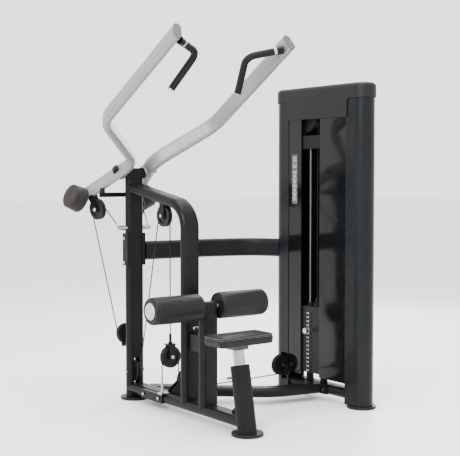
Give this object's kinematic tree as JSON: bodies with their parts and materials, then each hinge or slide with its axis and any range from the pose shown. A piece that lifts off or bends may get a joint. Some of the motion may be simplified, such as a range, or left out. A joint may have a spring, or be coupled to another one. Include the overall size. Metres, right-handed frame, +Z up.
{
  "type": "lat pulldown machine",
  "caption": "Plate-stack lat pulldown machine with converging silver arms, counterweights, cable pulleys, thigh rollers, adjustable seat and a shrouded weight tower",
  "frame": {"origin": "on the floor at the centre of the main upright's foot disc", "axes": "+X towards the weight tower, +Y the way the seated user faces, +Z up"},
  "size_m": [1.2422, 1.3702, 1.8534],
  "materials": {
    "frame_black": "satin powder coat",
    "arm_silver": "satin silver powder coat",
    "bright_steel": "zinc plated",
    "chrome_steel": "polished",
    "cast_plate": "black paint",
    "drum_paint": "dark textured paint",
    "black_rubber": "matt",
    "wheel_plastic": "moulded nylon",
    "cap_plastic": "moulded, fine texture",
    "panel_gloss": "gloss black",
    "black_foam": "soft leatherette over foam",
    "cable_black": "nylon coated wire rope"
  },
  "bodies": {
    "frame": {"main_upright": "frame_black", "base_tube": "frame_black", "hoop_tube": "frame_black", "pad_post": "frame_black", "seat_post": "frame_black", "foot_discs": "frame_black", "upper_crossbar": "frame_black", "lower_crossbar": "frame_black", "joint_plates": "frame_black", "frame_bolts": "bright_steel", "pivot_head": "frame_black", "pivot_axles": "bright_steel", "rubber_buffers": "black_rubber", "cable_anchors": "bright_steel", "frame_brackets": "frame_black", "tower_frame": "frame_black", "tower_columns": "frame_black", "tower_cap": "cap_plastic", "tower_panels": "panel_gloss", "guide_rods": "chrome_steel", "waiting_plates": "cast_plate", "fixed_cables": "cable_black"},
    "right_arm": {"right_arm_tube": "arm_silver", "right_arm_rubber": "black_rubber", "right_handle": "frame_black", "right_weight": "drum_paint", "right_clevis": "frame_black", "right_arm_cable": "cable_black"},
    "left_arm": {"left_arm_tube": "arm_silver", "left_arm_rubber": "black_rubber", "left_handle": "frame_black", "left_weight": "drum_paint", "left_clevis": "frame_black", "left_arm_cable": "cable_black"},
    "stack": {"lifted_stack": "cast_plate", "stack_cable": "cable_black"},
    "yoke": {"yoke": "frame_black", "yoke_cable": "cable_black", "slot_cable": "cable_black"},
    "block": {"block": "frame_black", "block_cable": "cable_black", "loop_cable": "cable_black"},
    "seat_slide": {"seat_carriage": "chrome_steel", "seat_pad": "black_foam"},
    "roller_slide": {"roller_carriage": "frame_black"},
    "roller_pair": {"rollers": "black_foam", "roller_axle": "bright_steel"},
    "right_tail_pulley_body": {"right_tail_pulley": "wheel_plastic"},
    "left_tail_pulley_body": {"left_tail_pulley": "wheel_plastic"},
    "slot_pulley_body": {"slot_pulley": "wheel_plastic"},
    "frame_pulley_body": {"frame_pulley": "wheel_plastic"},
    "base_pulley_body": {"base_pulley": "wheel_plastic"},
    "tower_pulley_body": {"tower_pulley": "wheel_plastic"},
    "top_pulley_body": {"top_pulley": "wheel_plastic"},
    "yoke_pulley_body": {"yoke_pulley": "wheel_plastic"},
    "block_pulley_body": {"block_pulley": "wheel_plastic"},
    "selector_pin_body": {"selector_pin": "bright_steel"},
    "seat_pin_body": {"seat_pin": "bright_steel"},
    "roller_pin_body": {"roller_pin": "bright_steel"}
  },
  "joints": [
    {"name": "stack_lift", "type": "slide", "parent": "frame", "child": "stack", "axis": [0, 0, 1], "range_m": [0, 0.69], "deforming": ["stack_cable"]},
    {"name": "right_arm_swing", "type": "hinge", "parent": "frame", "child": "right_arm", "pos_m": [0.0847, 0, 1.21], "axis": [0.9309, -0.0618, 0.36], "range_deg": [0, 45], "deforming": ["right_arm_cable"]},
    {"name": "left_arm_swing", "type": "hinge", "parent": "frame", "child": "left_arm", "pos_m": [-0.0847, 0, 1.21], "axis": [0.9309, 0.0618, -0.36], "range_deg": [0, 45], "deforming": ["left_arm_cable"]},
    {"name": "yoke_travel", "type": "slide", "parent": "frame", "child": "yoke", "axis": [0, 0.1833, 0.9831], "range_m": [0, 0.345], "deforming": ["yoke_cable", "slot_cable"]},
    {"name": "block_travel", "type": "slide", "parent": "frame", "child": "block", "axis": [0, 0, 1], "range_m": [0, 0.345], "deforming": ["block_cable", "loop_cable"]},
    {"name": "seat_height", "type": "slide", "parent": "frame", "child": "seat_slide", "axis": [0, 0.1867, 0.9824], "range_m": [0, 0.1]},
    {"name": "seat_pin_pull", "type": "slide", "parent": "frame", "child": "seat_pin_body", "axis": [0, 0.9824, -0.1867], "range_m": [0, 0.012], "stiffness_N_per_m": 600, "springref_m": -0.01},
    {"name": "roller_height", "type": "slide", "parent": "frame", "child": "roller_slide", "axis": [0, 0, 1], "range_m": [0, 0.12]},
    {"name": "roller_pin_pull", "type": "slide", "parent": "frame", "child": "roller_pin_body", "axis": [0, 1, 0], "range_m": [0, 0.012], "stiffness_N_per_m": 600, "springref_m": -0.01},
    {"name": "roller_spin", "type": "hinge", "parent": "roller_slide", "child": "roller_pair", "pos_m": [0, -0.672, 0.561], "axis": [1, 0, 0], "continuous": true},
    {"name": "selector_pin_pull", "type": "slide", "parent": "stack", "child": "selector_pin_body", "axis": [-1, 0, 0], "range_m": [0, 0.09]},
    {"name": "right_tail_pulley_spin", "type": "hinge", "parent": "right_arm", "child": "right_tail_pulley_body", "pos_m": [0.128, 0.16, 1.008], "axis": [0.9797, -0.1769, -0.0939], "continuous": true},
    {"name": "left_tail_pulley_spin", "type": "hinge", "parent": "left_arm", "child": "left_tail_pulley_body", "pos_m": [-0.128, 0.16, 1.008], "axis": [0.9797, 0.1769, 0.0939], "continuous": true},
    {"name": "slot_pulley_spin", "type": "hinge", "parent": "frame", "child": "slot_pulley_body", "pos_m": [0, 0, 0.15], "axis": [1, 0, 0], "continuous": true},
    {"name": "frame_pulley_spin", "type": "hinge", "parent": "frame", "child": "frame_pulley_body", "pos_m": [0, -0.295, 0.984], "axis": [1, 0, 0], "continuous": true},
    {"name": "base_pulley_spin", "type": "hinge", "parent": "frame", "child": "base_pulley_body", "pos_m": [0.1, -0.345, 0.145], "axis": [0, 1, 0], "continuous": true},
    {"name": "tower_pulley_spin", "type": "hinge", "parent": "frame", "child": "tower_pulley_body", "pos_m": [0.725, -0.345, 0.15], "axis": [0, 1, 0], "continuous": true},
    {"name": "top_pulley_spin", "type": "hinge", "parent": "frame", "child": "top_pulley_body", "pos_m": [0.79, -0.45, 1.52], "axis": [0.99, 0.1414, 0], "continuous": true},
    {"name": "yoke_pulley_spin", "type": "hinge", "parent": "yoke", "child": "yoke_pulley_body", "pos_m": [0, 0.08591, 0.338], "axis": [0, 0.9831, -0.1833], "continuous": true},
    {"name": "block_pulley_spin", "type": "hinge", "parent": "block", "child": "block_pulley_body", "pos_m": [0, -0.345, 0.272], "axis": [0, 1, 0], "continuous": true}
  ],
  "couplings": [
    {"joint": "right_arm_swing", "follows": "stack_lift", "rad_per_m": 1.1382},
    {"joint": "left_arm_swing", "follows": "stack_lift", "rad_per_m": 1.1382},
    {"joint": "yoke_travel", "follows": "stack_lift", "ratio": 0.5},
    {"joint": "block_travel", "follows": "stack_lift", "ratio": 0.5}
  ]
}
